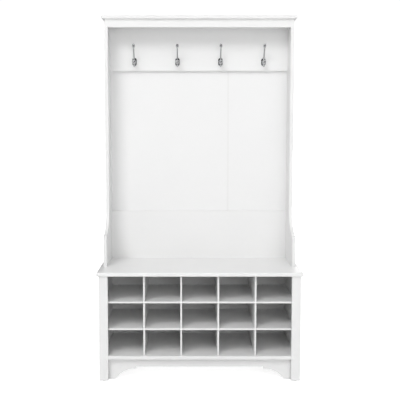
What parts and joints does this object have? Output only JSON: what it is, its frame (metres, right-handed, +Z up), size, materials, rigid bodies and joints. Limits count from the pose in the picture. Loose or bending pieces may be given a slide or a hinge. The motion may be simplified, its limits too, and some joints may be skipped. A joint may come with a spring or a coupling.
{
  "type": "hall tree with hooks",
  "caption": "Free-standing white hall tree: a bench over open shoe cubbies, with a shallow hutch above it that carries two-prong coat hooks under a flat cap.",
  "frame": {"origin": "on the floor, under the middle of the overall box", "axes": "+X to the viewer's right, +Y from the front of the seat to the wall, +Z up"},
  "size_m": [0.972, 0.404, 1.748],
  "materials": {
    "white_board": "white satin paint over fibreboard",
    "white_back": "white film on thin hardboard",
    "hook_chrome": "polished chrome plate",
    "zinc_steel": "zinc-plated steel",
    "nail_steel": "bright steel",
    "dowel_wood": "plain beech",
    "white_plastic": "white matte plastic",
    "glide_plastic": "pale matte plastic",
    "raw_block": "bare softwood"
  },
  "bodies": {
    "root": {"bench_top": "white_board", "left_bench_side": "white_board", "right_bench_side": "white_board", "left_front_post": "white_board", "right_front_post": "white_board", "left_hutch_side": "white_board", "right_hutch_side": "white_board", "cubby_floor_board": "white_board", "skirt_board": "white_board", "rear_base_rail": "white_board", "lower_cubby_shelf": "white_board", "upper_cubby_shelf": "white_board", "cubby_divider_1": "white_board", "cubby_divider_2": "white_board", "cubby_divider_3": "white_board", "cubby_divider_4": "white_board", "hutch_cap": "white_board", "fascia_board": "white_board", "hook_rail": "white_board", "lower_back_rail": "white_board", "left_back_panel": "white_back", "right_back_panel": "white_back", "bench_back_panel": "white_back", "back_seam_strip": "white_plastic", "coat_hook_1": "hook_chrome", "coat_hook_2": "hook_chrome", "coat_hook_3": "hook_chrome", "coat_hook_4": "hook_chrome", "corner_blocks": "raw_block", "hook_screws": "hook_chrome", "seat_screws": "zinc_steel", "side_screws": "zinc_steel", "cover_caps": "white_plastic", "floor_glides": "glide_plastic", "panel_nails": "nail_steel", "bench_dowels": "dowel_wood", "hutch_dowels": "dowel_wood", "cap_dowels": "dowel_wood"}
  },
  "joints": []
}
